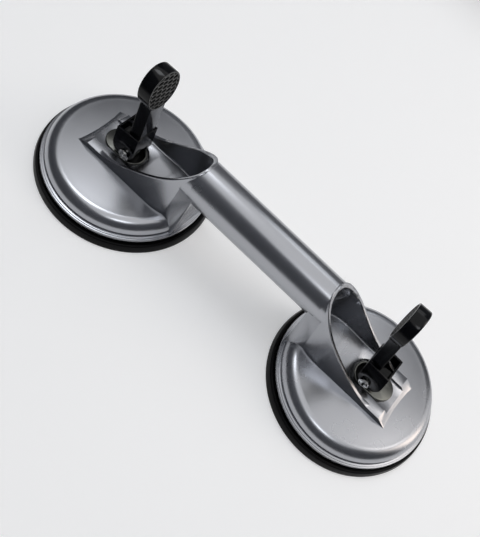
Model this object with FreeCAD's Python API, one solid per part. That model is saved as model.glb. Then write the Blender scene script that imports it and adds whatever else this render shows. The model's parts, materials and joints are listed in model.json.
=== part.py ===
"""Double-cup suction lifter for floor tiles: one cast body with two caps and a tube handle, and under
each cap a rubber pad that a tilting lever draws up to make the vacuum.

Millimetres, +Z up. The origin is on the floor, midway between the cups; +X runs along the handle to the
right cup. Each end is drawn about its own cup axis, with u outward from that axis, and the left one is
its mirror image.
"""
import FreeCAD, Part
import math
import os

V = FreeCAD.Vector
os.makedirs("parts", exist_ok=True)

# ---- driving sizes: body casting -------------------------------------------------------------------
CUP_SPACING = 206.0          # between the two cup axes
FLANGE_RADIUS = 56.2         # outer edge of the cap
FLANGE_BOTTOM = 7.0
FLANGE_EDGE = 2.2            # height of the flange's rim
LEDGE_STEP = 0.5             # fine step on the flange ledge
LEDGE_INSET = 1.1            # the step stands this far in from the flange's edge
EDGE_BREAK = 0.4             # small bevel on the casting's edges
WALL_RADIUS = 53.6           # cap wall above the ledge
CAP_TOP = 19.2               # top of the cap at the end of the shoulder
CAP_CROWN = 0.6              # the cap's top bulges this much more at its middle
SHOULDER = 8.6               # radius between the cap's wall and top
SHELL = 3.0                  # wall of the cap
TUBE_AXIS = 52.5             # height of the handle's axis
TUBE_RADIUS = 14.5
TUBE_WALL = 2.0
COWL_HALF = 18.5             # half width of the cowl
COWL_WALL = 2.3
COWL_TAPER_START = 26.0      # inward of the cup axis, where the cowl starts to narrow
COWL_APEX = 53.5             # inward of the cup axis, where the rim crosses the tube's top
COWL_FULLNESS = 2.4          # exponent of the cowl's plan curve
RIM_PROUD = 0.5              # the rim stands this much over the tube
RIM_SWEEP = 1.46             # exponent of the rim's fall from the tube to the deck
DECK_TOP = 24.0              # floor of the cowl
RIM_END = 12.0               # outward of the cup axis, where the rim has run out
DECK_END = 21.6              # where the deck starts to slope down
SLOPE_END = 31.5             # the slope's surface is drawn as far as this and runs out on the cap
SLOPE_FALL = 0.77            # fall of the slope along its middle, per mm
SLOPE_FALL_SIDE = 0.59       # the same along its sides, which makes its outer edge a hollow curve
SLOT_PLATE = 1.8             # thickness left between the slot and the hollow under the cap
RAMP_START = 14.0            # inward of the cup axis, where the deck starts to rise
RAMP_ANGLE = 3.6             # degrees
POCKET_FILLET = 1.2
NECK_FOOT_HALF = 16.9        # half width of the neck at the flange
NECK_HEAD_HALF = 14.2        # half width of the neck at the tube's axis
NECK_LEAN = 2.8              # the neck's front leans this much from foot to tube
NECK_DEPTH = 16.0            # the neck reaches this far outward from its front
HUB_RADIUS = 11.0
RECESS_DEPTH = 2.6           # round recess under the plate, for the dust seal
HOLLOW_INSET = 3.5           # from the cowl's outside to the hollow under its deck

# ---- driving sizes: pad and draw gear --------------------------------------------------------------
PAD_RADIUS = 60.0
PAD_MIDDLE = 3.6             # height of the pad's upper face under the disc
PAD_DISH = 0.8               # hollow under the pad
PAD_SEAL = 10.0              # width of the flat sealing ring
LIP_TOP = 5.3
LIP_FOOT = 1.8               # height of the lip's upright edge
LIP_LEAN = 1.1               # the lip leans in this much
LIP_WIDTH = 1.5              # width of the lip's rounded top
GROOVE_FLOOR = 3.9
SEAT_INSET = 0.8             # the flange overhangs its rubber seat by this
PAD_SLOPE = 5.0              # width of the slope between the seat and the pad's middle
DISC_RADIUS = 40.0
DISC_THICK = 2.0
DISC_EDGE = 1.2              # the disc's rim turns up by this
STUD_RADIUS = 4.5
STUD_HEAD_RADIUS = 8.0
STUD_HEAD = 1.5
NUT_ACROSS = 14.0
NUT_HEIGHT = 4.0
BUSH_RADIUS = 6.5
SEAL_THICK = 1.6             # rubber dust seal over the bush
SPRING_WIRE = 1.4
SPRING_TOP_RADIUS = 8.4
SPRING_FOOT_RADIUS = 14.0
SPRING_TURNS = 3.5
SPRING_STEPS = 16            # straight lengths in one turn
WIRE_SIDES = 10              # flats round the wire
RUN_CLEAR = 0.05             # radial clearance of the sliding and turning fits
SEAT_CLEAR = 0.1             # clearance of parts that only lie in their seats

# ---- driving sizes: lever, pin and wear plate ------------------------------------------------------
SLOT_HALF = 10.3             # half width of the slot in the deck
SLOT_DEPTH = 2.1
PLATE_THICK = 1.6
PLATE_GAP = 0.8              # gap between the plate and the slot's wall
PLATE_CHAMFER = 0.5
RING_WIDTH = 1.4             # the plate is only a ring of this width round the recess
PLATE_CLEAR = 0.5            # gap between the plate's hole and the stud
PLATE_REACH = 10.8           # outward shift of the wear plate's outer round
PIN_HEIGHT = 28.3            # height of the pivot with the lever released
PIN_RADIUS = 2.5
PIN_HEAD_RADIUS = 3.7
PIN_HEAD = 1.4
PIN_HEAD_RIM = 0.8           # width of the head's raised rim
PIN_HEAD_GROOVE = 0.7        # depth of the hollow inside the rim
PIN_TAIL = 2.6               # length of the pin past the far cheek
CLIP_THICK = 0.8
CLIP_RADIUS = 4.6
GROOVE_RADIUS = 2.0          # bottom of the pin's clip groove
CAM_CLEAR = 0.25             # gap between cam and wear plate
NOSE_REACH = 10.4            # from the pivot to the block's outer face
BLOCK_INNER = 6.0            # from the pivot to the block's inner face
BLOCK_HALF = 8.75            # half width over both cheeks
BLOCK_WALL = 1.2             # wall round the block's well
WELL_FLOOR = 4.0             # height of the well's floor over the fork's roof
HEEL_ANGLE = 53.0            # the round foot runs this far round toward the handle, degrees
CHEEK_GAP_HALF = 4.25        # half width between the cheeks
TANG_CLEAR = 0.25            # gap each side of the stud's flats
ROOF_CLEAR = 1.0             # gap between the stud's end and the web over it
BLOCK_TOP_INNER = 20.6       # height of the block over the pivot, inner edge
BLOCK_TOP_OUTER = 17.0       # the same, outer edge
ARM_HALF = 6.6               # half width of the arm
ARM_INNER = 5.5              # from the pivot line to the arm's inner face
ARM_THICK = 8.0
HEAD_RADIUS = 12.7           # thumb disc
HEAD_THICK = 8.6
HEAD_HEIGHT = 59.7           # from the pivot to the middle of the thumb disc
HEAD_TILT = 6.0              # the disc tips outward from the arm, degrees
HEAD_RIM = 1.3               # width of the rim round the disc's grip face
HEAD_ROUND = 1.4             # round on the disc's back edge
GRIP_RECESS = 0.7
GUSSET_HALF = 1.1
GUSSET_RISE = 10.5           # the gusset climbs this far over the block
GUSSET_ROOT = 2.0            # and reaches this far down into the well
GUSSET_THROAT = 1.7          # its width where its curved edge turns up along the arm
GUSSET_TURN = 3.6            # height of that turn over the block
LEAN = {"left": 4.0, "right": 10.0}    # how far each released lever leans toward the handle, degrees
LOCK_ANGLE = 84.0            # the locked arm's angle from upright, degrees

# ---- worked out ------------------------------------------------------------------------------------
HALF_SPACING = CUP_SPACING / 2
LEDGE_Z = FLANGE_BOTTOM + FLANGE_EDGE
WALL_FOOT = LEDGE_Z + LEDGE_STEP
CEILING = CAP_TOP - SHELL
BORE_RADIUS = TUBE_RADIUS - TUBE_WALL
SLOT_FLOOR = DECK_TOP - SLOT_DEPTH
PLATE_TOP = SLOT_FLOOR + PLATE_THICK
PLATE_RADIUS = SLOT_HALF - PLATE_GAP
RECESS_RADIUS = PLATE_RADIUS - RING_WIDTH
RECESS_FLOOR = SLOT_FLOOR - RECESS_DEPTH
RIM_APEX = TUBE_AXIS + TUBE_RADIUS + RIM_PROUD
FOOT_REACH = PIN_HEIGHT - PLATE_TOP - CAM_CLEAR        # from the pivot down to the cam's foot
LIFT = NOSE_REACH - FOOT_REACH                         # rise of the pivot from released to locked
DISC_TOP = PAD_MIDDLE + DISC_THICK
TANG_HALF = CHEEK_GAP_HALF - TANG_CLEAR
NECK_FRONT = math.sqrt(FLANGE_RADIUS ** 2 - NECK_FOOT_HALF ** 2) - 0.2
BIG = 4 * PAD_RADIUS                                    # longer than any cut has to be
OVERCUT = 1.0                                           # a cut goes this far past an open face


# ---- helpers ---------------------------------------------------------------------------------------
def polygon(points):
    """Closed wire through the points."""
    return Part.makePolygon(list(points) + [points[0]])


def prism(wire, along):
    """Solid made by moving a flat closed wire along a vector."""
    return Part.Face(wire).extrude(along)


def side_prism(points, half):
    """Prism across Y, of the given half width, from (x, z) corners."""
    return prism(polygon([V(x, -half, z) for x, z in points]), V(0, 2 * half, 0))


def turned(points):
    """Solid of revolution about Z from (r, z) corners."""
    return Part.Face(polygon([V(r, 0, z) for r, z in points])).revolve(V(0, 0, 0), V(0, 0, 1), 360)


def rod(radius, start, end):
    """Round bar from one point to another."""
    line = end.sub(start)
    return Part.makeCylinder(radius, line.Length, start, line)


def box(x0, x1, y0, y1, z0, z1):
    return Part.makeBox(x1 - x0, y1 - y0, z1 - z0, V(x0, y0, z0))


def spline(points):
    curve = Part.BSplineCurve()
    curve.interpolate(points)
    return curve.toShape()


def line(a, b):
    return Part.LineSegment(a, b).toShape()


def placed(shape, side, mirrored=True):
    """Carry a shape drawn about the right cup's axis to its cup. A coil keeps its hand by being turned."""
    moved = shape.copy()
    moved.translate(V(HALF_SPACING, 0, 0))
    if side == "left" and mirrored:
        moved = moved.mirror(V(0, 0, 0), V(1, 0, 0))
    elif side == "left":
        moved.rotate(V(0, 0, 0), V(0, 0, 1), 180)
    return moved


# ---- body casting ----------------------------------------------------------------------------------
def cap():
    """Outside of the round cap: flange with a stepped ledge, upright wall, round shoulder, crowned top."""
    shoulder_z = CAP_TOP - SHOULDER
    shoulder_r = WALL_RADIUS - SHOULDER
    half = math.sqrt(0.5) * SHOULDER
    points = [V(0, 0, FLANGE_BOTTOM), V(FLANGE_RADIUS, 0, FLANGE_BOTTOM),
              V(FLANGE_RADIUS, 0, LEDGE_Z - EDGE_BREAK), V(FLANGE_RADIUS - EDGE_BREAK, 0, LEDGE_Z),
              V(FLANGE_RADIUS - LEDGE_INSET, 0, LEDGE_Z), V(FLANGE_RADIUS - LEDGE_INSET, 0, WALL_FOOT),
              V(WALL_RADIUS, 0, WALL_FOOT), V(WALL_RADIUS, 0, shoulder_z)]
    edges = [line(a, b) for a, b in zip(points, points[1:])]
    shoulder_end = V(shoulder_r, 0, CAP_TOP)
    edges.append(Part.Arc(points[-1], V(shoulder_r + half, 0, shoulder_z + half), shoulder_end).toShape())
    crown = V(0, 0, CAP_TOP + CAP_CROWN)
    middle = V(shoulder_r / 2, 0, CAP_TOP + 0.75 * CAP_CROWN)
    edges.append(Part.Arc(shoulder_end, middle, crown).toShape())
    edges.append(line(crown, points[0]))
    return Part.Face(Part.Wire(edges)).revolve(V(0, 0, 0), V(0, 0, 1), 360)


def cap_room():
    """The hollow under the cap, where the disc and the pad's middle rise."""
    inner = WALL_RADIUS - SHELL
    return turned([(0, 0), (inner, 0), (inner, CEILING - SHELL), (inner - SHELL, CEILING), (0, CEILING)])


def cowl_plan(inset, outer_end, bottom, height):
    """Upright prism with the cowl's plan: straight sides that close in a full curve toward the tube."""
    half = COWL_HALF - inset
    length = COWL_APEX - COWL_TAPER_START - inset
    curve = []
    for k in range(13):
        side = math.sin(math.pi * (k / 12 - 0.5))       # -1 at the -Y side, 1 at the +Y side
        run = (1 - abs(side) ** COWL_FULLNESS) ** (1 / COWL_FULLNESS)
        curve.append(V(-COWL_TAPER_START - run * length, side * half, bottom))
    corners = [V(outer_end, half, bottom), V(outer_end, -half, bottom)]
    wire = Part.Wire([spline(curve), line(curve[-1], corners[0]), line(*corners), line(corners[1], curve[0])])
    return prism(wire, V(0, 0, height))


def above_rim():
    """Everything over the rim's sweep and the deck."""
    run = RIM_END + COWL_APEX
    rise = RIM_APEX - DECK_TOP
    sweep = [V(RIM_END - run * k / 8, -BIG, DECK_TOP + rise * (k / 8) ** RIM_SWEEP) for k in range(9)]
    corners = [sweep[-1], V(-COWL_APEX, -BIG, BIG), V(DECK_END, -BIG, BIG), V(DECK_END, -BIG, DECK_TOP),
               sweep[0]]
    edges = [spline(sweep)] + [line(a, b) for a, b in zip(corners, corners[1:])]
    return prism(Part.Wire(edges), V(0, 2 * BIG, 0))


def above_slope():
    """Everything over the slope: straight across where it leaves the deck, hollow where it meets the cap."""
    half = COWL_HALF + OVERCUT
    middle = DECK_TOP - SLOPE_FALL * (SLOPE_END - DECK_END)
    side = DECK_TOP - SLOPE_FALL_SIDE * (SLOPE_END - DECK_END)
    sections = []
    for u, low, low_side in ((DECK_END, DECK_TOP, DECK_TOP), (SLOPE_END, middle, side)):
        ends = [V(u, half, low_side), V(u, half, BIG), V(u, -half, BIG), V(u, -half, low_side)]
        bottom = spline([ends[-1], V(u, -half / 2, low + (low_side - low) / 4), V(u, 0, low),
                         V(u, half / 2, low + (low_side - low) / 4), ends[0]])
        sections.append(Part.Wire([bottom] + [line(a, b) for a, b in zip(ends, ends[1:])]))
    return Part.makeLoft(sections, True, True)


def neck():
    """Foot under the tube, from the flange up to the tube's axis, narrower at its head."""
    across = polygon([V(-BIG, y, z) for y, z in
                      [(-NECK_FOOT_HALF, WALL_FOOT), (NECK_FOOT_HALF, WALL_FOOT),
                       (NECK_HEAD_HALF, TUBE_AXIS), (-NECK_HEAD_HALF, TUBE_AXIS)]])
    back = NECK_DEPTH - NECK_FRONT
    along = side_prism([(-NECK_FRONT, WALL_FOOT), (back, WALL_FOOT), (back, TUBE_AXIS),
                        (-NECK_FRONT - NECK_LEAN, TUBE_AXIS)], COWL_HALF)
    return prism(across, V(2 * BIG, 0, 0)).common(along)


def pocket():
    """The cowl's open inside, over a deck that rises gently toward the tube; its foot is rounded."""
    start = -RAMP_START
    end = -COWL_APEX
    rise = (start - end) * math.tan(math.radians(RAMP_ANGLE))
    room = side_prism([(end, DECK_TOP + rise), (start, DECK_TOP), (BIG, DECK_TOP), (BIG, BIG), (end, BIG)],
                      COWL_HALF)
    room = cowl_plan(COWL_WALL, BIG, 0, BIG).common(room)
    foot = [edge for edge in room.Edges
            if edge.BoundBox.ZMax < DECK_TOP + rise + 0.1 and edge.BoundBox.XMin < BIG - 0.1
            and edge.BoundBox.XLength > 0.1]
    return room.makeFillet(POCKET_FILLET, foot)


def end_casting():
    """One end of the body: cap, neck, cowl and half of the handle tube."""
    tube = rod(TUBE_RADIUS, V(-HALF_SPACING, 0, TUBE_AXIS), V(-COWL_TAPER_START, 0, TUBE_AXIS))
    cowl = cowl_plan(0, SLOPE_END, CEILING, RIM_APEX - CEILING)
    solid = cowl.fuse([tube, neck()]).cut([above_rim(), above_slope()]).fuse(cap())
    hub_hole = rod(BUSH_RADIUS, V(0, 0, 0), V(0, 0, BIG))
    recess = rod(RECESS_RADIUS, V(0, 0, RECESS_FLOOR), V(0, 0, BIG))
    bore = rod(BORE_RADIUS, V(-HALF_SPACING, 0, TUBE_AXIS), V(-COWL_TAPER_START, 0, TUBE_AXIS))
    slot = Part.makeCylinder(SLOT_HALF, SLOT_DEPTH + OVERCUT, V(0, 0, SLOT_FLOOR))
    slot = slot.fuse(box(0, SLOPE_END, -SLOT_HALF, SLOT_HALF, SLOT_FLOOR, DECK_TOP + OVERCUT))
    hollow_top = SLOT_FLOOR - SLOT_PLATE
    hollow = cowl_plan(HOLLOW_INSET, DECK_END - SHELL, CEILING - OVERCUT, hollow_top - CEILING + OVERCUT)
    hollow = hollow.cut(rod(HUB_RADIUS, V(0, 0, 0), V(0, 0, BIG)))
    return solid.cut([cap_room(), pocket(), bore, slot, hub_hole, recess, hollow])


def housing():
    right = placed(end_casting(), "right")
    left = placed(end_casting(), "left")
    return right.fuse(left).removeSplitter()


# ---- rubber pad and draw gear ----------------------------------------------------------------------
def rubber_pad():
    """Pad with a flat sealing ring, a thin outer lip, a groove and the ring that the flange sits on."""
    seat = FLANGE_RADIUS - SEAT_INSET
    lip = PAD_RADIUS - LIP_LEAN
    groove = lip - LIP_WIDTH - (LIP_TOP - GROOVE_FLOOR) / 2
    slope = WALL_RADIUS - SHELL
    head_room = STUD_HEAD_RADIUS + SEAT_CLEAR
    head_foot = PAD_MIDDLE - STUD_HEAD - SEAT_CLEAR
    return turned([
        (0, PAD_DISH), (PAD_RADIUS - PAD_SEAL - PAD_DISH, PAD_DISH), (PAD_RADIUS - PAD_SEAL, 0),
        (PAD_RADIUS, 0), (PAD_RADIUS, LIP_FOOT), (lip, LIP_TOP - LIP_WIDTH / 3),
        (lip - LIP_WIDTH / 3, LIP_TOP), (lip - LIP_WIDTH, LIP_TOP), (groove, GROOVE_FLOOR),
        (seat, GROOVE_FLOOR), (seat, FLANGE_BOTTOM), (slope, FLANGE_BOTTOM),
        (slope - PAD_SLOPE, PAD_MIDDLE), (head_room, PAD_MIDDLE), (head_room, head_foot), (0, head_foot)])


def pressure_disc():
    """Steel disc with a rolled-up edge; the stud passes its middle."""
    hole = STUD_RADIUS + RUN_CLEAR
    rim = DISC_RADIUS + DISC_EDGE
    return turned([(hole, PAD_MIDDLE), (DISC_RADIUS, PAD_MIDDLE), (rim, PAD_MIDDLE + DISC_EDGE),
                   (rim, DISC_TOP + DISC_EDGE), (DISC_RADIUS - DISC_EDGE / 2, DISC_TOP), (hole, DISC_TOP)])


def draw_stud():
    """Headed stud; its upper end has two flats, a round top and the cross hole for the pivot pin."""
    foot = PAD_MIDDLE - STUD_HEAD
    stud = rod(STUD_HEAD_RADIUS, V(0, 0, foot), V(0, 0, PAD_MIDDLE))
    stud = stud.fuse(rod(STUD_RADIUS, V(0, 0, foot), V(0, 0, PIN_HEIGHT + STUD_RADIUS)))
    flats_foot = PIN_HEIGHT - NOSE_REACH - TANG_CLEAR
    above = PIN_HEIGHT + STUD_RADIUS
    tip = rod(STUD_RADIUS, V(0, -STUD_RADIUS, PIN_HEIGHT), V(0, STUD_RADIUS, PIN_HEIGHT))
    tip = tip.fuse(box(-STUD_RADIUS, STUD_RADIUS, -STUD_RADIUS, STUD_RADIUS, flats_foot, PIN_HEIGHT))
    tip = tip.common(box(-STUD_RADIUS, STUD_RADIUS, -TANG_HALF, TANG_HALF, flats_foot, above))
    column = stud.cut(box(-BIG, BIG, -BIG, BIG, flats_foot, BIG))
    stud = column.fuse(tip.common(stud)).removeSplitter()
    return stud.cut(rod(PIN_RADIUS + RUN_CLEAR, V(0, -BIG, PIN_HEIGHT), V(0, BIG, PIN_HEIGHT)))


def stud_nut():
    """Hexagon nut that clamps the disc against the stud's head."""
    corner = NUT_ACROSS / 2 / math.cos(math.pi / 6)
    points = [V(corner * math.cos(k * math.pi / 3), corner * math.sin(k * math.pi / 3), DISC_TOP)
              for k in range(6)]
    nut = prism(polygon(points), V(0, 0, NUT_HEIGHT))
    return nut.cut(rod(STUD_RADIUS + RUN_CLEAR, V(0, 0, 0), V(0, 0, BIG)))


def guide_bush():
    """Plain bush in the hub, flush with the recess's floor and the cap's ceiling."""
    bush = rod(BUSH_RADIUS, V(0, 0, CEILING), V(0, 0, RECESS_FLOOR))
    return bush.cut(rod(STUD_RADIUS + RUN_CLEAR, V(0, 0, 0), V(0, 0, BIG)))


def dust_seal():
    """Flat rubber ring in the recess, round the stud."""
    radius = RECESS_RADIUS - SEAT_CLEAR
    seal = rod(radius, V(0, 0, RECESS_FLOOR), V(0, 0, RECESS_FLOOR + SEAL_THICK))
    return seal.cut(rod(STUD_RADIUS + RUN_CLEAR, V(0, 0, 0), V(0, 0, BIG)))


def return_spring():
    """Conical wire spring between the disc and the hub, drawn as a chain of short straight lengths."""
    height = CEILING - DISC_TOP - SPRING_WIRE
    steps = round(SPRING_STEPS * SPRING_TURNS)
    path = []
    for k in range(steps + 1):
        turn = 2 * math.pi * k / SPRING_STEPS
        radius = SPRING_FOOT_RADIUS + (SPRING_TOP_RADIUS - SPRING_FOOT_RADIUS) * k / steps
        path.append(V(radius * math.cos(turn), radius * math.sin(turn),
                      DISC_TOP + SPRING_WIRE / 2 + height * k / steps))
    section = []
    for k in range(WIRE_SIDES):
        turn = 2 * math.pi * (k / WIRE_SIDES + 0.25)
        section.append(path[0] + V(math.cos(turn), 0, math.sin(turn)) * (SPRING_WIRE / 2))
    return Part.makePolygon(path).makePipeShell([polygon(section)], True, False, 1)


def wear_plate():
    """Steel plate with round ends that the cam turns on; toward the handle it is a ring over the recess."""
    radius = PLATE_RADIUS
    plate = rod(radius, V(0, 0, SLOT_FLOOR), V(0, 0, PLATE_TOP))
    plate = plate.fuse([rod(radius, V(PLATE_REACH, 0, SLOT_FLOOR), V(PLATE_REACH, 0, PLATE_TOP)),
                        box(0, PLATE_REACH, -radius, radius, SLOT_FLOOR, PLATE_TOP)]).removeSplitter()
    top = [edge for edge in plate.Edges if edge.BoundBox.ZMin > PLATE_TOP - SEAT_CLEAR]
    plate = plate.makeChamfer(PLATE_CHAMFER, top)
    ring_room = rod(RECESS_RADIUS, V(0, 0, 0), V(0, 0, BIG))
    ring_room = ring_room.common(box(-BIG, 0, -BIG, BIG, 0, BIG))
    return plate.cut([rod(STUD_RADIUS + PLATE_CLEAR, V(0, 0, 0), V(0, 0, BIG)), ring_room])


# ---- lever, pin and clip ---------------------------------------------------------------------------
def cam_reach(angle):
    """How far the cam may reach from the pivot, in the direction that points down at this lever angle."""
    stroke = LOCK_ANGLE + LEAN["left"]
    return FOOT_REACH + LIFT * (angle + LEAN["left"]) / stroke


def cam_point(angle):
    """Point of the cam's curve that touches the plate at this lever angle, in degrees from upright."""
    slope = LIFT / math.radians(LOCK_ANGLE + LEAN["left"])
    a = math.radians(angle)
    reach = cam_reach(angle)
    return V(reach * math.sin(a) + slope * math.cos(a), 0, -reach * math.cos(a) + slope * math.sin(a))


def block_outline():
    """Side view of the cam block about the pivot: foot, cam curve, nose, and a top that slopes outward."""
    def foot(angle):
        return V(FOOT_REACH * math.sin(math.radians(angle)), 0, -FOOT_REACH * math.cos(math.radians(angle)))

    heel = foot(-HEEL_ANGLE)
    foot_end = foot(-LEAN["left"])
    heel_middle = foot(-(HEEL_ANGLE + LEAN["left"]) / 2)
    steps = 6
    curve = [cam_point(-LEAN["left"] + (LOCK_ANGLE + LEAN["left"]) * k / steps) for k in range(steps + 1)]
    last = curve[-1]
    corners = [last, V(min(last.x, NOSE_REACH) - 0.01, 0, BLOCK_TOP_OUTER),
               V(-BLOCK_INNER, 0, BLOCK_TOP_INNER), V(-BLOCK_INNER, 0, FOOT_REACH / 2), heel]
    edges = [Part.Arc(heel, heel_middle, foot_end).toShape(), line(foot_end, curve[0]), spline(curve)]
    edges += [line(a, b) for a, b in zip(corners, corners[1:])]
    return Part.Wire(edges)


def thumb_disc():
    """Thick round disc on the arm's end; its grip face, toward the handle, is sunk inside a rim."""
    inner = -HEAD_THICK / 2
    disc = rod(HEAD_RADIUS, V(inner, 0, 0), V(-inner, 0, 0))
    back = [edge for edge in disc.Edges if edge.BoundBox.XMin > 0 and edge.BoundBox.XLength < 0.01]
    disc = disc.makeFillet(HEAD_ROUND, back)
    disc = disc.cut(rod(HEAD_RADIUS - HEAD_RIM, V(inner - OVERCUT, 0, 0), V(inner + GRIP_RECESS, 0, 0)))
    disc.rotate(V(0, 0, 0), V(0, 1, 0), HEAD_TILT)
    disc.translate(V(-ARM_INNER + HEAD_THICK / 2, 0, HEAD_HEIGHT))
    return disc


def lever():
    """Plastic lever drawn upright about the pivot: forked cam block, gusset, arm and thumb disc."""
    block = prism(block_outline(), V(0, 2 * BLOCK_HALF, 0))
    block.translate(V(0, -BLOCK_HALF, 0))
    arm_outer = ARM_THICK - ARM_INNER
    arm = box(-ARM_INNER, arm_outer, -ARM_HALF, ARM_HALF, BLOCK_TOP_OUTER / 2, HEAD_HEIGHT - HEAD_RADIUS / 2)
    toe = V(NOSE_REACH - BLOCK_WALL / 2, -GUSSET_HALF, BLOCK_TOP_OUTER)
    turn = V(arm_outer + GUSSET_THROAT, -GUSSET_HALF, BLOCK_TOP_OUTER + GUSSET_TURN)
    peak = V(arm_outer, -GUSSET_HALF, BLOCK_TOP_OUTER + GUSSET_RISE)
    root = V(0, -GUSSET_HALF, BLOCK_TOP_OUTER - GUSSET_ROOT)
    corners = [peak, V(0, -GUSSET_HALF, peak.z), root, V(toe.x, -GUSSET_HALF, root.z), toe]
    edges = [Part.Arc(toe, turn, peak).toShape()] + [line(a, b) for a, b in zip(corners, corners[1:])]
    gusset = prism(Part.Wire(edges), V(0, 2 * GUSSET_HALF, 0))
    roof = STUD_RADIUS + ROOF_CLEAR
    gap = box(-BIG, BIG, -CHEEK_GAP_HALF, CHEEK_GAP_HALF, -BIG, roof)
    well_half = BLOCK_HALF - BLOCK_WALL
    well = box(-ARM_INNER / 2, NOSE_REACH - BLOCK_WALL, -well_half, well_half, roof + WELL_FLOOR, BIG)
    body = block.cut([gap, well]).fuse([arm.cut(gap), gusset, thumb_disc()]).removeSplitter()
    return body.cut(rod(PIN_RADIUS + RUN_CLEAR, V(0, -BIG, 0), V(0, BIG, 0)))


def set_lever(side):
    """Lever on its pivot, leaning toward the handle as it does when released."""
    shape = lever()
    shape.rotate(V(0, 0, 0), V(0, 1, 0), -LEAN[side])
    shape.translate(V(0, 0, PIN_HEIGHT))
    return shape


def pivot_pin():
    """Pin with a hollow head on the front, a boss in the hollow and a clip groove at its tail."""
    tail = BLOCK_HALF + SEAT_CLEAR
    head = -tail
    front = head - PIN_HEAD
    pin = rod(PIN_RADIUS, V(0, head, PIN_HEIGHT), V(0, tail + PIN_TAIL, PIN_HEIGHT))
    head_disc = rod(PIN_HEAD_RADIUS, V(0, front, PIN_HEIGHT), V(0, head, PIN_HEIGHT))
    rim = [edge for edge in head_disc.Edges if edge.BoundBox.YMax < head - PIN_HEAD / 2]
    head_disc = head_disc.makeFillet(PIN_HEAD_RIM / 2 - RUN_CLEAR, rim)
    hollow_ends = [V(0, front - OVERCUT, PIN_HEIGHT), V(0, front + PIN_HEAD_GROOVE, PIN_HEIGHT)]
    hollow = rod(PIN_HEAD_RADIUS - PIN_HEAD_RIM, *hollow_ends).cut(rod(PIN_HEAD_RADIUS / 3, *hollow_ends))
    groove_ends = [V(0, tail, PIN_HEIGHT), V(0, tail + CLIP_THICK, PIN_HEIGHT)]
    groove = rod(PIN_RADIUS + OVERCUT, *groove_ends).cut(rod(GROOVE_RADIUS, *groove_ends))
    return pin.fuse(head_disc).cut([hollow, groove]).removeSplitter()


def pin_clip():
    """Open clip in the pin's groove, past the far cheek."""
    tail = BLOCK_HALF + SEAT_CLEAR
    ends = [V(0, tail, PIN_HEIGHT), V(0, tail + CLIP_THICK, PIN_HEIGHT)]
    clip = rod(CLIP_RADIUS, *ends).cut(rod(GROOVE_RADIUS, *ends))
    mouth_half = GROOVE_RADIUS - SEAT_CLEAR
    mouth = box(-mouth_half, mouth_half, tail, tail + CLIP_THICK, PIN_HEIGHT, PIN_HEIGHT + BIG)
    return clip.cut(mouth)


# ---- write every piece -----------------------------------------------------------------------------
pieces = {"housing": housing()}
for side in ("left", "right"):
    for name, shape in [("rubber_pad", rubber_pad()), ("pressure_disc", pressure_disc()),
                        ("draw_stud", draw_stud()), ("stud_nut", stud_nut()),
                        ("guide_bush", guide_bush()), ("dust_seal", dust_seal()),
                        ("wear_plate", wear_plate()),
                        ("lever", set_lever(side)), ("pivot_pin", pivot_pin()), ("pin_clip", pin_clip())]:
        pieces[name + "_" + side] = placed(shape, side)
    pieces["return_spring_" + side] = placed(return_spring(), side, mirrored=False)

for name, shape in pieces.items():
    print(name, len(shape.Solids), "solid", shape.isValid(), round(shape.Volume, 1))
    shape.exportStep("parts/" + name + ".step")
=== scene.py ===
# %% [markdown]
# # A double-cup suction lifter, dressed for the studio
#
# The solids come in as a fixed frame in metres: one aluminium casting with two round caps, rubber pads
# under them, and a black lever on a pin over each cup. This script gives every piece its finish and
# rounds the edges of the casting, levers, pins and plates. It lays fine turned skins over the caps and
# the tube, makes pads in three zones and copies of the springs, and adds the grip pattern of the thumb discs.
# The overall size stays as it is.

# %% Open the frame
import json
import math

import bmesh
import bpy
from mathutils import Matrix, Quaternion, Vector


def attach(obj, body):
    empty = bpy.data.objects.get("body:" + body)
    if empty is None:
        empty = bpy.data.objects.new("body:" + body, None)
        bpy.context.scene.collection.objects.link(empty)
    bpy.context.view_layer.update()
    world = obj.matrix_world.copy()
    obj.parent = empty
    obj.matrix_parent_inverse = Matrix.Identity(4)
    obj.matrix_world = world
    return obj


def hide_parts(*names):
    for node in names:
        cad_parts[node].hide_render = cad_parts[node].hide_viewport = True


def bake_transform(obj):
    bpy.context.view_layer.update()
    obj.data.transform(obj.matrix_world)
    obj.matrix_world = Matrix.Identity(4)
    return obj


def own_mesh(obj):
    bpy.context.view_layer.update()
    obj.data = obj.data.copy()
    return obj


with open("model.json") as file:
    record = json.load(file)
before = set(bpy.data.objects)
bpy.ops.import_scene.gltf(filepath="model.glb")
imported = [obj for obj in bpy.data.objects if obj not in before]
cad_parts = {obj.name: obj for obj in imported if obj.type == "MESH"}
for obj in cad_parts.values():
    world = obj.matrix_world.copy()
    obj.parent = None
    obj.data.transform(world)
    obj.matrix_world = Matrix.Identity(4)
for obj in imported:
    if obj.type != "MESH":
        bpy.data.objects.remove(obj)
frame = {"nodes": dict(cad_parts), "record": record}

MM = 0.001
FULL_TURN = 2 * math.pi
scene = bpy.context.scene
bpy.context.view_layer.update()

# %% [markdown]
# ## Camera
#
# The lifter lies slanted across the picture, seen from high on its pin side. A camera is easiest to read
# as an azimuth and elevation round a target, a distance, and a roll about its own axis. The frame is
# shifted a little, because the object sits above the point that the lens looks at.

# %% Camera
CAMERA_TARGET = Vector((25.66, -43.43, 30.0)) * MM
CAMERA_AZIMUTH = 2.70
CAMERA_ELEVATION = 61.66
CAMERA_ROLL = 41.24
CAMERA_DISTANCE = 359.95 * MM
CAMERA_LENS = 40.85
CAMERA_SHIFT_Y = 0.1145


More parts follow.
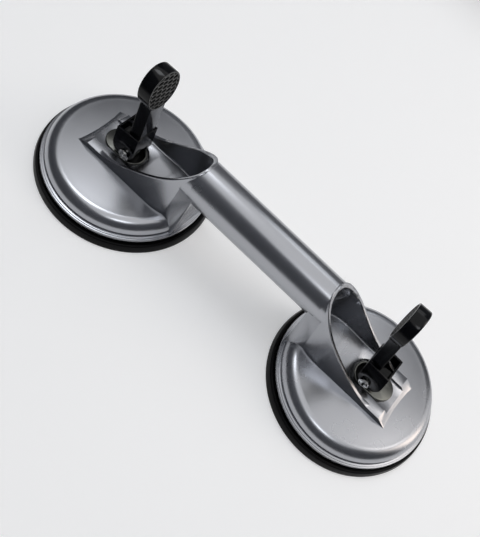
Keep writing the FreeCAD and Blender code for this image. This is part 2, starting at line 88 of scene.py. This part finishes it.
def direction(azimuth, elevation):
    """Unit vector toward a place round the object: azimuth 0 is the pin side (-Y), 90 is +X."""
    a, e = math.radians(azimuth), math.radians(elevation)
    return Vector((math.sin(a) * math.cos(e), -math.cos(a) * math.cos(e), math.sin(e)))


back = direction(CAMERA_AZIMUTH, CAMERA_ELEVATION)
camera_data = bpy.data.cameras.new("camera")
camera_data.lens = CAMERA_LENS
camera_data.sensor_width = 36
camera_data.shift_y = CAMERA_SHIFT_Y
camera_data.clip_start, camera_data.clip_end = 0.01, 50
camera = bpy.data.objects.new("camera", camera_data)
scene.collection.objects.link(camera)
camera.location = CAMERA_TARGET + back * CAMERA_DISTANCE
camera.rotation_mode = "QUATERNION"
roll = Quaternion((0, 0, 1), math.radians(CAMERA_ROLL))
camera.rotation_quaternion = (-back).to_track_quat("-Z", "Y") @ roll
scene.camera = camera
scene.view_settings.view_transform = "Standard"
print("camera at", [round(v, 3) for v in camera.location])

# %% [markdown]
# ## Studio
#
# A satin casting looks like metal only if it has something bright and something dark to mirror. The room
# is white overhead. Two soft boxes hang high on the left and on the right, a third stands behind, and two
# warmer ones stand past the right cup. A ring of dark cards stands round the table, higher on the pin side
# and paler behind. The cards only show in reflections. The table's white paper carries a painted pool of
# light: it is painted white round the lifter and fades to a painted grey further out.


# %% Soft lights
def soft_light(name, azimuth, elevation, distance, width, height, strength, colour, aim):
    """Rectangular lamp that shines at aim; strength is the brightness of its face."""
    data = bpy.data.lights.new(name, "AREA")
    data.shape = "RECTANGLE"
    data.size, data.size_y = width, height
    data.energy = strength * math.pi * width * height
    data.color = colour
    lamp = bpy.data.objects.new(name, data)
    scene.collection.objects.link(lamp)
    toward = direction(azimuth, elevation)
    lamp.location = aim + toward * distance
    lamp.rotation_mode = "QUATERNION"
    lamp.rotation_quaternion = (-toward).to_track_quat("-Z", "Y")
    print(f"{name}: {width:g} x {height:g} m at {distance:g} m")
    return lamp


table_middle = Vector((0, 0, 30 * MM))
soft_light("left_light", -115, 65, 1.3, 0.32, 0.24, 5.4, (0.93, 0.96, 1.0), table_middle)
soft_light("right_light", 32, 66, 1.3, 0.32, 0.20, 4.2, (0.93, 0.96, 1.0), table_middle)
soft_light("back_light", 125, 51, 1.2, 0.26, 0.26, 2.2, (1.0, 0.94, 0.88), table_middle)
soft_light("rear_light", 180, 42, 1.3, 0.30, 0.46, 1.25, (0.96, 0.98, 1.0), table_middle)
soft_light("warm_light", 113, 24, 1.0, 0.24, 0.55, 2.2, (1.0, 0.82, 0.67), table_middle)


# %% White room
def new_node(tree, kind, **settings):
    """Node of a tree with its properties set; inputs are set by the caller."""
    node = tree.nodes.new(kind)
    for name, value in settings.items():
        setattr(node, name, value)
    return node


def seen_rays(tree):
    """1 for camera, mirror and glass rays, 0 for the rays that light the object."""
    rays = new_node(tree, "ShaderNodeLightPath")
    mirrored = new_node(tree, "ShaderNodeMath", operation="MAXIMUM")
    through = new_node(tree, "ShaderNodeMath", operation="MAXIMUM")
    tree.links.new(rays.outputs["Is Camera Ray"], mirrored.inputs[0])
    tree.links.new(rays.outputs["Is Glossy Ray"], mirrored.inputs[1])
    tree.links.new(mirrored.outputs[0], through.inputs[0])
    tree.links.new(rays.outputs["Is Transmission Ray"], through.inputs[1])
    return through.outputs[0]


ROOM_FILL = 1.15             # brightness of the room for the light that falls on the object

world = bpy.data.worlds.new("studio_room")
scene.world = world
world.use_nodes = True
room = world.node_tree
room.nodes.clear()
room_seen = new_node(room, "ShaderNodeBackground")
room_seen.inputs["Color"].default_value = (1, 1, 1, 1)
room_fill = new_node(room, "ShaderNodeBackground")
room_fill.inputs["Color"].default_value = (0.97, 0.98, 1, 1)
room_fill.inputs["Strength"].default_value = ROOM_FILL
room_mix = new_node(room, "ShaderNodeMixShader")
room_out = new_node(room, "ShaderNodeOutputWorld")
room.links.new(seen_rays(room), room_mix.inputs["Fac"])
room.links.new(room_fill.outputs[0], room_mix.inputs[1])
room.links.new(room_seen.outputs[0], room_mix.inputs[2])
room.links.new(room_mix.outputs[0], room_out.inputs["Surface"])
print("room:", len(room.nodes), "nodes")


# %% Table and dark cards
def stage_material(name, colour, glow=0.0):
    """Matt paper; glow is the white that it adds for camera and mirror rays only. With a glow, colour and glow
    are painted white near the middle and fade to grey outward: a painted pool of light.
    """
    material = bpy.data.materials.new(name)
    material.use_nodes = True
    shader = material.node_tree.nodes["Principled BSDF"]
    shader.inputs["Base Color"].default_value = (*colour, 1)
    shader.inputs["Roughness"].default_value = 0.9
    shader.inputs["Specular IOR Level"].default_value = 0.0
    if glow:
        shader.inputs["Emission Strength"].default_value = glow
        tree = material.node_tree
        # painted pool of light: colour and glow are white near the middle and painted grey further out
        place = new_node(tree, "ShaderNodeTexCoord")
        far = new_node(tree, "ShaderNodeVectorMath", operation="LENGTH")
        fade = new_node(tree, "ShaderNodeMapRange", interpolation_type="SMOOTHSTEP")
        fade.inputs["From Min"].default_value = LIGHT_POOL_RADIUS
        fade.inputs["From Max"].default_value = LIGHT_POOL_FADED
        tree.links.new(place.outputs["Object"], far.inputs[0])
        tree.links.new(far.outputs["Value"], fade.inputs["Value"])
        light_pool = new_node(tree, "ShaderNodeMix", data_type="RGBA")
        light_pool.inputs["A"].default_value = (*colour, 1)
        light_pool.inputs["B"].default_value = (*[POOL_GREY_SHARE * c for c in colour], 1)
        tree.links.new(fade.outputs["Result"], light_pool.inputs["Factor"])
        tree.links.new(light_pool.outputs["Result"], shader.inputs["Base Color"])
        near = new_node(tree, "ShaderNodeMath", operation="SUBTRACT")
        near.inputs[0].default_value = 1.0
        tree.links.new(fade.outputs["Result"], near.inputs[1])
        shown = new_node(tree, "ShaderNodeMath", operation="MULTIPLY")
        tree.links.new(near.outputs[0], shown.inputs[0])
        tree.links.new(seen_rays(tree), shown.inputs[1])
        tree.links.new(shown.outputs[0], shader.inputs["Emission Color"])
    return material


def add_stage(name, mesh_maker, material):
    """Stage piece whose mesh is made by mesh_maker(bm)."""
    mesh = bpy.data.meshes.new(name)
    bm = bmesh.new()
    mesh_maker(bm)
    bm.to_mesh(mesh)
    bm.free()
    piece = bpy.data.objects.new(name, mesh)
    scene.collection.objects.link(piece)
    mesh.materials.append(material)
    print(name, len(mesh.polygons), "faces")
    return piece


TABLE_RADIUS = 1.1
TABLE_GAP = 0.2 * MM         # the paper lies this far under the pads
LIGHT_POOL_RADIUS = 0.36          # painted pool of light: the paper is painted white as far as this from its middle
LIGHT_POOL_FADED = 0.60            # and the painted light has faded to grey here
POOL_GREY_SHARE = 0.45            # the painted grey outside the pool of light is this share of the white
CARD_RADIUS = 1.15
CARD_BACK = 1.30             # height of the cards behind and on the left
CARD_FRONT = 1.90            # height of the cards on the pin side
CARD_FRONT_ARC = (-84, 98)   # azimuths of the high cards
CARD_PEAK = 0.8              # the front cards are this much higher at their peak
CARD_PEAK_AZIMUTH = -40
CARD_GAP = (98, 138)         # azimuths left open for the warm light
CARD_PALE = (152, 214)       # azimuths where the card is a paler grey


def table_top(bm):
    bmesh.ops.create_circle(bm, cap_ends=True, segments=96, radius=TABLE_RADIUS,
                            matrix=Matrix.Translation((0, 0, -TABLE_GAP)))


def card_ring(bm, keep):
    """Standing cards; keep says at which azimuths, 0 to 360, a card stands."""
    bmesh.ops.create_circle(bm, cap_ends=False, segments=120, radius=CARD_RADIUS)
    wall = bmesh.ops.extrude_edge_only(bm, edges=bm.edges[:])
    for item in wall["geom"]:
        if isinstance(item, bmesh.types.BMVert):
            azimuth = math.degrees(math.atan2(item.co.x, -item.co.y))
            in_front = CARD_FRONT_ARC[0] < azimuth < CARD_FRONT_ARC[1]
            facing = max(0, math.cos(math.radians(azimuth - CARD_PEAK_AZIMUTH)))
            item.co.z += CARD_FRONT + CARD_PEAK * facing ** 4 if in_front else CARD_BACK
    opened = []
    for face in bm.faces:
        middle = face.calc_center_median()
        azimuth = math.degrees(math.atan2(middle.x, -middle.y)) % 360
        if not keep(azimuth):
            opened.append(face)
    bmesh.ops.delete(bm, geom=opened, context="FACES")


def dark_cards(bm):
    card_ring(bm, lambda a: not CARD_GAP[0] < a < CARD_GAP[1] and not CARD_PALE[0] < a < CARD_PALE[1])


def pale_card(bm):
    card_ring(bm, lambda a: CARD_PALE[0] < a < CARD_PALE[1])


# the table's paper carries a painted pool of light round the lifter
table = add_stage("table_top", table_top, stage_material("table_light_pool", (0.78, 0.78, 0.78), glow=0.3))
cards = add_stage("dark_cards", dark_cards, stage_material("card_black", (0.17, 0.175, 0.19)))
grey_card = add_stage("pale_card", pale_card, stage_material("card_grey", (0.38, 0.385, 0.40)))
cards.visible_camera = grey_card.visible_camera = False

# %% [markdown]
# ## Shared effects
#
# Several finishes use the same small effects, so each effect is a node group with its own inputs: a fine
# grain for bumps, and soft clouds that make a surface a little uneven, as every real finish is.


# %% Node groups
def new_group(name, inputs, outputs):
    group = bpy.data.node_groups.new(name, "ShaderNodeTree")
    for label, kind, value in inputs:
        socket = group.interface.new_socket(name=label, in_out="INPUT", socket_type=kind)
        if value is not None:
            socket.default_value = value
    for label, kind in outputs:
        group.interface.new_socket(name=label, in_out="OUTPUT", socket_type=kind)
    first, last = group.nodes.new("NodeGroupInput"), group.nodes.new("NodeGroupOutput")
    return group, first, last


def grain_group():
    """Height of a fine blasted or moulded grain, and a slow cloud between 0 and 1."""
    group, first, last = new_group(
        "surface_grain",
        [("Vector", "NodeSocketVector", None), ("Grain Scale", "NodeSocketFloat", 1500.0),
         ("Cloud Scale", "NodeSocketFloat", 40.0)],
        [("Height", "NodeSocketFloat"), ("Cloud", "NodeSocketFloat")])
    grain = group.nodes.new("ShaderNodeTexNoise")
    grain.inputs["Detail"].default_value = 3.0
    cloud = group.nodes.new("ShaderNodeTexNoise")
    cloud.inputs["Detail"].default_value = 4.0
    cloud.inputs["Roughness"].default_value = 0.6
    for node, scale in ((grain, "Grain Scale"), (cloud, "Cloud Scale")):
        group.links.new(first.outputs["Vector"], node.inputs["Vector"])
        group.links.new(first.outputs[scale], node.inputs["Scale"])
    group.links.new(grain.outputs["Fac"], last.inputs["Height"])
    group.links.new(cloud.outputs["Fac"], last.inputs["Cloud"])
    return group


surface_grain = grain_group()
print("groups:", [g.name for g in bpy.data.node_groups])

# %% [markdown]
# ## Finishes
#
# Every finish is a Principled shader fed by the shared grain: the cloud moves colour and roughness a
# little, and the grain gives the bump. Metals and plastics differ mainly in metallic, colour and
# roughness.


# %% Finish maker
def finish(name, colour, metallic, rough_low, rough_high, grain_scale, bump, cloud_scale=40.0,
           shade=0.12, mirror=0.5):
    """Material with clouded colour and roughness between two limits, and a grain bump in millimetres."""
    material = bpy.data.materials.new(name)
    material.use_nodes = True
    nodes, links = material.node_tree.nodes, material.node_tree.links
    shader = nodes["Principled BSDF"]
    shader.inputs["Metallic"].default_value = metallic
    shader.inputs["Specular IOR Level"].default_value = mirror
    place = nodes.new("ShaderNodeTexCoord")
    effect = nodes.new("ShaderNodeGroup")
    effect.node_tree = surface_grain
    effect.inputs["Grain Scale"].default_value = grain_scale
    effect.inputs["Cloud Scale"].default_value = cloud_scale
    links.new(place.outputs["Object"], effect.inputs["Vector"])
    tint = nodes.new("ShaderNodeMix")
    tint.data_type = "RGBA"
    tint.inputs["A"].default_value = (*[c * (1 - shade) for c in colour], 1)
    tint.inputs["B"].default_value = (*[min(1, c * (1 + shade)) for c in colour], 1)
    links.new(effect.outputs["Cloud"], tint.inputs["Factor"])
    links.new(tint.outputs["Result"], shader.inputs["Base Color"])
    rough = nodes.new("ShaderNodeMapRange")
    rough.inputs["To Min"].default_value = rough_low
    rough.inputs["To Max"].default_value = rough_high
    rough.inputs["From Min"].default_value = 0.3
    rough.inputs["From Max"].default_value = 0.7
    links.new(effect.outputs["Cloud"], rough.inputs["Value"])
    links.new(rough.outputs["Result"], shader.inputs["Roughness"])
    relief = nodes.new("ShaderNodeBump")
    relief.inputs["Strength"].default_value = 1.0
    relief.inputs["Distance"].default_value = bump * MM
    links.new(effect.outputs["Height"], relief.inputs["Height"])
    links.new(relief.outputs["Normal"], shader.inputs["Normal"])
    return material


finishes = {
    "cast_aluminium": finish("silver_casting", (0.395, 0.403, 0.428), 1.0, 0.22, 0.28, 2600, 0.0,
                             cloud_scale=22, shade=0.04),
    "pad_rubber": finish("black_rubber", (0.0018, 0.0018, 0.0022), 0.0, 0.34, 0.46, 900, 0.008, shade=0.25,
                         mirror=0.11),
    "lever_plastic": finish("black_moulding", (0.0020, 0.0022, 0.0032), 0.0, 0.09, 0.14, 1800, 0.002,
                            shade=0.2, mirror=0.20),
    "grip": finish("worn_moulding", (0.034, 0.034, 0.033), 0.0, 0.40, 0.55, 1800, 0.004, shade=0.2,
                   mirror=0.5),
    "steel": finish("bright_steel", (0.66, 0.66, 0.65), 1.0, 0.14, 0.20, 1500, 0.001, shade=0.05),
    "zinc_steel": finish("zinc_plate", (0.52, 0.53, 0.54), 1.0, 0.28, 0.42, 1200, 0.006, shade=0.1),
    "wear_steel": finish("yellow_zinc", (0.142, 0.144, 0.134), 1.0, 0.20, 0.30, 1200, 0.003, shade=0.12),
    "spring_steel": finish("spring_wire", (0.34, 0.34, 0.35), 1.0, 0.25, 0.35, 1500, 0.004),
    "bronze": finish("bronze_bush", (0.50, 0.33, 0.16), 1.0, 0.28, 0.4, 1500, 0.006),
}
print("finishes:", sorted(finishes))

# %% Dress the solids
for part in frame["record"]["subparts"]:
    node = frame["nodes"][part["node"]]
    node.data.materials.clear()
    node.data.materials.append(finishes[part["material_slot"]])

# %% [markdown]
# ## Casting and mouldings
#
# The body is one aluminium casting, and each lever is a plastic moulding: a forked block that turns on the
# pin, an arm and a thick thumb disc. Neither has a razor-sharp edge, and the thin bright lines along the
# rims come from that. So a copy of each solid is merged, its flat faces are joined, and a small bevel is
# cut along every edge, inside corners too. The cowl's rim and the slot's long edges get a wider one. The
# copy then stands for the solid. The turned pins and the pressed plates are rounded in the same way.

# %% Soften a solid
LEVER_ROUND = 0.35 * MM
CAST_ROUND = 0.3 * MM
RIM_ROUND = 0.55 * MM
SLOT_ROUND = 0.6 * MM        # round along the two long edges of the plate's slot
PIN_ROUND = 0.12 * MM
PLATE_ROUND = 0.15 * MM
RIM_FOOT = 25.5 * MM         # the rim band lies above this
RIM_REACH = 91.0 * MM        # and no further from the middle of the handle than this
DECK_TOP = 24.0 * MM
SLOT_HALF = 10.3 * MM
NEAR = 0.02 * MM
FLAT = math.radians(0.1)     # faces that meet at less than this are one flat face
SHARP = math.radians(15)     # edges that turn more than this are cut
WELD = 0.002 * MM            # points closer than this are one point


def is_rim(face):
    """Faces of the cowl's rim band: they lean along the handle, not across it, and lie above the deck."""
    normal, middle = face.normal, face.calc_center_median()
    leans = abs(normal.y) < 0.02 and 0.2 < normal.z < 0.99
    return leans and middle.z > RIM_FOOT and abs(middle.x) < RIM_REACH


def is_slot_edge(edge):
    """Long upper edges of the slot in the deck that the wear plate lies in."""
    ends = [v.co for v in edge.verts]
    return all(abs(p.z - DECK_TOP) < NEAR and abs(abs(p.y) - SLOT_HALF) < NEAR for p in ends)


def cut_edges(bm, edges, width, segments):
    bmesh.ops.bevel(bm, geom=edges, offset=width, offset_type="OFFSET", segments=segments,
                    profile=0.5, affect="EDGES", material=-1, clamp_overlap=False)


def softened(node_name, piece_name, edge_round, segments=3, rim_round=0.0):
    """Rounded copy of a solid: merged, flat faces joined, then bevelled along its sharp edges."""
    source = frame["nodes"][node_name]
    bm = bmesh.new()
    bm.from_mesh(source.data)
    bmesh.ops.remove_doubles(bm, verts=bm.verts, dist=WELD)
    bmesh.ops.dissolve_limit(bm, angle_limit=FLAT, verts=bm.verts, edges=bm.edges)
    sharp = [e for e in bm.edges if len(e.link_faces) == 2 and e.calc_face_angle(0) > SHARP]
    if rim_round:
        rim = [e for e in sharp if is_rim(e.link_faces[0]) or is_rim(e.link_faces[1])]
        cut_edges(bm, rim, rim_round, 3)
        cut_edges(bm, [e for e in bm.edges if is_slot_edge(e)], SLOT_ROUND, 4)
        sharp = [e for e in bm.edges if len(e.link_faces) == 2 and e.calc_face_angle(0) > SHARP]
    cut_edges(bm, sharp, edge_round, segments)
    bmesh.ops.triangulate(bm, faces=[f for f in bm.faces if len(f.verts) > 4])
    mesh = bpy.data.meshes.new(piece_name)
    bm.to_mesh(mesh)
    bm.free()
    return new_piece(piece_name, mesh)


def new_piece(name, mesh, sharp_angle=22):
    """Smooth-shaded piece that stays crisp where its faces turn more than the angle."""
    mesh.shade_smooth()
    mesh.set_sharp_from_angle(angle=math.radians(sharp_angle))
    piece = bpy.data.objects.new(name, mesh)
    scene.collection.objects.link(piece)
    print(name, len(mesh.polygons), "faces")
    return piece


def dress(piece, body, slot, node_name=None, finish_name=None):
    """Give a piece its finish and body; with a node name it stands for that solid."""
    piece.data.materials.append(finishes[finish_name or slot])
    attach(piece, body)
    if node_name:
        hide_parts(node_name)


# %% Casting and levers
casting = softened("housing", "body_casting_soft", CAST_ROUND, segments=2, rim_round=RIM_ROUND)
dress(casting, "body_casting", "cast_aluminium", "housing")
for side in ("left", "right"):
    lever = softened("lever_" + side, "lever_moulding_" + side, LEVER_ROUND)
    dress(lever, "tilt_lever_" + side, "lever_plastic", "lever_" + side)
    pin = softened("pivot_pin_" + side, "pivot_pin_turned_" + side, PIN_ROUND, segments=2)
    dress(pin, "draw_gear_" + side, "steel", "pivot_pin_" + side)
    plate = softened("wear_plate_" + side, "wear_plate_pressed_" + side, PLATE_ROUND, segments=2)
    dress(plate, "body_casting", "wear_steel", "wear_plate_" + side)

# %% [markdown]
# ## Turned faces of the casting
#
# The caps and the tube are the large smooth faces that show the studio, and any unevenness in their facets
# shows as a blemish. Each cap's outside is therefore laid over the casting as a skin spun from its profile
# in fine steps, and the tube gets a sleeve. The profile starts as straight lines, and its corners are
# rounded with a vertex bevel, as a pattern maker would round them.

# %% Cap skins
CUP_X = 103.0 * MM
SKIN = 0.10 * MM             # how far the skins stand over the casting
SKIN_DEPTH = 0.5 * MM        # how far their inner side lies under it
FLANGE_RADIUS = 56.2 * MM
FLANGE_BOTTOM = 7.0 * MM
FLANGE_TOP = 9.2 * MM
LEDGE_RADIUS = 55.1 * MM
LEDGE_TOP = 9.7 * MM
WALL_RADIUS = 53.6 * MM
SHOULDER = 8.6 * MM          # round between the cap's wall and its top
SHOULDER_STEPS = 16
CAP_TOP = 19.2 * MM
CAP_STEPS = 12               # steps of the profile across the top
CROWN = 0.6 * MM             # the top is this much higher in its middle
TURN_STEPS = 180
SKIN_START = 12.0 * MM       # the skin starts under the cowl, this far from the cup's axis


def cap_profile(offset):
    """Corners of the cap's outside from the flange's foot to the top, moved outward; with their rounds."""
    return [((FLANGE_RADIUS + offset, FLANGE_BOTTOM), 0),
            ((FLANGE_RADIUS + offset, FLANGE_TOP + offset), 0.45 * MM),
            ((LEDGE_RADIUS + offset, FLANGE_TOP + offset), 0),
            ((LEDGE_RADIUS + offset, LEDGE_TOP + offset), 0.2 * MM),
            ((WALL_RADIUS + offset, LEDGE_TOP + offset), 0.35 * MM),
            ((WALL_RADIUS + offset, CAP_TOP + offset), SHOULDER)]


def cap_skin(name, side_x):
    bm = bmesh.new()
    outer = cap_profile(SKIN)
    corners, rounds = [p for p, _ in outer], [r for _, r in outer]
    flat_radius = WALL_RADIUS - SHOULDER
    for k in range(CAP_STEPS + 1):
        corners.append((flat_radius - (flat_radius - SKIN_START) * k / CAP_STEPS, CAP_TOP + SKIN))
        rounds.append(0)
    corners += [(SKIN_START, CAP_TOP - SKIN_DEPTH), (flat_radius, CAP_TOP - SKIN_DEPTH),
                (WALL_RADIUS - SKIN_DEPTH, CAP_TOP - SHOULDER), (WALL_RADIUS - SKIN_DEPTH, FLANGE_BOTTOM)]
    rounds += [0] * 4
    verts = [bm.verts.new((x, 0, z)) for x, z in corners]
    bm.faces.new(verts)
    for vert, size in zip(verts, rounds):
        if size:
            bmesh.ops.bevel(bm, geom=[vert], offset=size, offset_type="OFFSET", profile=0.5,
                            segments=SHOULDER_STEPS if size == SHOULDER else 4, affect="VERTICES", material=-1)
    bmesh.ops.remove_doubles(bm, verts=bm.verts, dist=0.001 * MM)
    for vert in bm.verts:
        if vert.co.x < flat_radius and vert.co.z > CAP_TOP:
            vert.co.z += CROWN * (1 - (vert.co.x / flat_radius) ** 2)
    bmesh.ops.delete(bm, geom=bm.faces[:], context="FACES_ONLY")
    bmesh.ops.spin(bm, geom=bm.verts[:] + bm.edges[:], cent=(0, 0, 0), axis=(0, 0, 1),
                   angle=FULL_TURN, steps=TURN_STEPS, use_merge=True)
    bmesh.ops.recalc_face_normals(bm, faces=bm.faces[:])
    bmesh.ops.translate(bm, verts=bm.verts, vec=(side_x, 0, 0))
    mesh = bpy.data.meshes.new(name)
    bm.to_mesh(mesh)
    bm.free()
    return new_piece(name, mesh)


for side, side_x in (("left", -CUP_X), ("right", CUP_X)):
    dress(cap_skin("cap_skin_" + side, side_x), "body_casting", "cast_aluminium")

# %% Tube sleeve
TUBE_AXIS = 52.5 * MM
TUBE_RADIUS = 14.5 * MM
SLEEVE_HALF = 51.0 * MM


def tube_sleeve(name):
    bm = bmesh.new()
    along_x = Matrix.Translation((0, 0, TUBE_AXIS)) @ Matrix.Rotation(math.pi / 2, 4, "Y")
    bmesh.ops.create_cone(bm, cap_ends=False, segments=144, radius1=TUBE_RADIUS + SKIN,
                          radius2=TUBE_RADIUS + SKIN, depth=2 * SLEEVE_HALF, matrix=along_x)
    bmesh.ops.recalc_face_normals(bm, faces=bm.faces[:])
    bmesh.ops.solidify(bm, geom=bm.faces[:], thickness=SKIN_DEPTH)
    mesh = bpy.data.meshes.new(name)
    bm.to_mesh(mesh)
    bm.free()
    return new_piece(name, mesh)


dress(tube_sleeve("tube_sleeve"), "body_casting", "cast_aluminium")

# %% [markdown]
# ## Rubber pads
#
# Each pad is a moulded rubber cup: a thick ring seals on the tile, and a thin web joins it to a plate in the
# middle that the lever's stud pulls up. The ring stays on the casting and the plate rides the stud. The web
# between them is made of narrow sectors, each turned on its own and attached to neither.

# %% Pads in three zones
WEB_SECTORS = 16
PAD_STEPS = 144              # steps of a full turn
WEB_STEPS = 9                # steps of one sector
LONG_EDGE = 3 * MM           # profile lines that reach further out than this are divided
PLATE_PROFILE = [(0, 0.8), (41, 0.8), (41, 3.6), (8.1, 3.6), (8.1, 2), (0, 2)]
WEB_PROFILE = [(41, 0.8), (49.2, 0.8), (50, 0), (50, 6.592), (45.6, 3.6), (41, 3.6)]
RING_PROFILE = [(50, 0), (60, 0), (60, 1.8), (58.9, 4.8), (58.4, 5.3), (57.4, 5.3), (56.7, 3.9), (55.4, 3.9),
                (55.4, 7), (50.6, 7), (50, 6.592)]


def turned(name, profile, side_x, start, sweep, steps):
    """Solid turned about the cup's axis from a profile in mm, over a part of the turn or all of it."""
    bm = bmesh.new()
    face = bm.faces.new([bm.verts.new((r * MM, 0, z * MM)) for r, z in profile])
    wide = [e for e in face.edges if abs(e.verts[0].co.x - e.verts[1].co.x) > LONG_EDGE]
    bmesh.ops.subdivide_edges(bm, edges=wide, cuts=3)
    bmesh.ops.rotate(bm, verts=bm.verts, cent=(0, 0, 0), matrix=Matrix.Rotation(start, 3, "Z"))
    full = sweep == FULL_TURN
    if full:
        bmesh.ops.delete(bm, geom=bm.faces[:], context="FACES_ONLY")
        section = bm.verts[:] + bm.edges[:]
    else:
        section = bm.faces[:]
    bmesh.ops.spin(bm, geom=section, cent=(0, 0, 0), axis=(0, 0, 1), angle=sweep, steps=steps,
                   use_merge=full)
    bmesh.ops.remove_doubles(bm, verts=bm.verts, dist=WELD)
    bmesh.ops.recalc_face_normals(bm, faces=bm.faces[:])
    bmesh.ops.translate(bm, verts=bm.verts, vec=(side_x, 0, 0))
    mesh = bpy.data.meshes.new(name)
    bm.to_mesh(mesh)
    bm.free()
    return mesh


def add_pad(side, side_x):
    node, gear = "rubber_pad_" + side, "draw_gear_" + side
    for name, profile, body in (("pad_ring_" + side, RING_PROFILE, "body_casting"),
                                ("pad_plate_" + side, PLATE_PROFILE, gear)):
        mesh = turned(name, profile, side_x, 0, FULL_TURN, PAD_STEPS)
        dress(new_piece(name, mesh), body, "pad_rubber", node)
    sector = FULL_TURN / WEB_SECTORS
    for k in range(WEB_SECTORS):
        name = f"pad_web_{side}_{k:02d}"
        web = new_piece(name, turned(name, WEB_PROFILE, side_x, (k - 0.5) * sector, sector, WEB_STEPS))
        web.data.materials.append(finishes["pad_rubber"])
        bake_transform(web)
        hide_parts(node)
    print("pad", side, "in", WEB_SECTORS + 2, "pieces")


for side, side_x in (("left", -CUP_X), ("right", CUP_X)):
    add_pad(side, side_x)

# %% [markdown]
# ## Return springs
#
# A tapered coil under each cap pushes the pad down again. The coil is a copy of the solid's own wire,
# merged, that stays with the casting.

for side, side_x in (("left", -CUP_X), ("right", CUP_X)):
    bm = bmesh.new()
    bm.from_mesh(frame["nodes"]["return_spring_" + side].data)
    bmesh.ops.remove_doubles(bm, verts=bm.verts, dist=WELD)
    mesh = bpy.data.meshes.new("return_coil_" + side)
    bm.to_mesh(mesh)
    bm.free()
    coil = new_piece("return_coil_" + side, mesh)
    dress(coil, "body_casting", "spring_steel", "return_spring_" + side)
    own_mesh(coil)

# %% [markdown]
# ## Grip pattern of the thumb discs
#
# The face that the thumb pushes on has a honeycomb of low ribs inside its rim, so that a wet or gloved
# thumb doesn't slip. A row of six-sided faces is laid out, each is inset to leave a rib round it, and the
# middles are pressed down and opened. The sheet is cut round and laid on the disc's sunk face.

# %% Honeycomb ribs
PIVOT_Z = 28.3 * MM
LEAN = {"left": 4.0, "right": 10.0}
HEAD_TILT = 6.0
HEAD_HEIGHT = 59.7 * MM
HEAD_THICK = 8.6 * MM
HEAD_INNER = -5.5 * MM       # the disc's inner face from the pin, measured across the disc
HEAD_CENTRE_X = HEAD_INNER + HEAD_THICK / 2
GRIP_RADIUS = 11.9 * MM
GRIP_SINK = 0.15 * MM        # the ribs end this far under the rim
GRIP_DEEP = 0.65 * MM
GRIP_CUTS = 36               # straight cuts that trim the sheet to a round
CELL = 3.0 * MM              # from cell to cell
CELL_STRETCH = 1.55          # the cells are this much wider across the disc than along it
RIB = 0.62 * MM


def honeycomb(name, side):
    bm = bmesh.new()
    corner = CELL / math.sqrt(3)
    rows = int(GRIP_RADIUS / (CELL * 0.866)) + 2
    for row in range(-rows, rows + 1):
        for column in range(-rows, rows + 1):
            across = CELL * (column + 0.5 * (row % 2))
            up = CELL * math.sqrt(3) / 2 * row
            if math.hypot(across, up * CELL_STRETCH) < GRIP_RADIUS + 1.6 * corner:
                bmesh.ops.create_circle(bm, cap_ends=True, segments=6, radius=corner,
                                        matrix=Matrix.Translation((across, up, 0)))
    bmesh.ops.remove_doubles(bm, verts=bm.verts, dist=0.01 * MM)
    bmesh.ops.scale(bm, verts=bm.verts, vec=(1, CELL_STRETCH, 1))
    for face in bm.faces:
        if face.normal.z < 0:
            face.normal_flip()
    cells = bm.faces[:]
    bmesh.ops.inset_individual(bm, faces=cells, thickness=RIB / 2, use_even_offset=True)
    walls = bmesh.ops.extrude_discrete_faces(bm, faces=cells)["faces"]
    bottom = [v for f in walls for v in f.verts]
    bmesh.ops.translate(bm, verts=bottom, vec=(0, 0, -GRIP_DEEP))
    bmesh.ops.delete(bm, geom=walls, context="FACES_ONLY")
    for k in range(GRIP_CUTS):
        turn = Vector((math.cos(k * FULL_TURN / GRIP_CUTS), math.sin(k * FULL_TURN / GRIP_CUTS), 0))
        bmesh.ops.bisect_plane(bm, geom=bm.verts[:] + bm.edges[:] + bm.faces[:], dist=0.0001 * MM,
                               plane_co=turn * GRIP_RADIUS, plane_no=turn, clear_outer=True)
    # the sheet's upper side looks along +Z here; on the disc it looks toward the handle, which is -X
    mirror_side = -1 if side == "left" else 1
    face_in = Matrix.Rotation(-math.pi / 2, 4, "Y")
    sunk = Matrix.Translation((-HEAD_THICK / 2 + GRIP_SINK, 0, 0))
    tilt = Matrix.Rotation(math.radians(HEAD_TILT), 4, "Y")
    lift = Matrix.Translation((HEAD_CENTRE_X, 0, HEAD_HEIGHT))
    lean = Matrix.Rotation(math.radians(-LEAN[side]), 4, "Y")
    stand = Matrix.Translation((CUP_X, 0, PIVOT_Z))
    flip = Matrix.Diagonal((mirror_side, 1, 1, 1))
    bmesh.ops.transform(bm, verts=bm.verts, matrix=flip @ stand @ lean @ lift @ tilt @ sunk @ face_in)
    if mirror_side < 0:
        bmesh.ops.reverse_faces(bm, faces=bm.faces[:])
    mesh = bpy.data.meshes.new(name)
    bm.to_mesh(mesh)
    bm.free()
    piece = bpy.data.objects.new(name, mesh)
    scene.collection.objects.link(piece)
    print(name, len(mesh.polygons), "faces")
    return piece


for side in ("left", "right"):
    dress(honeycomb("grip_ribs_" + side, side), "tilt_lever_" + side, "lever_plastic", finish_name="grip")
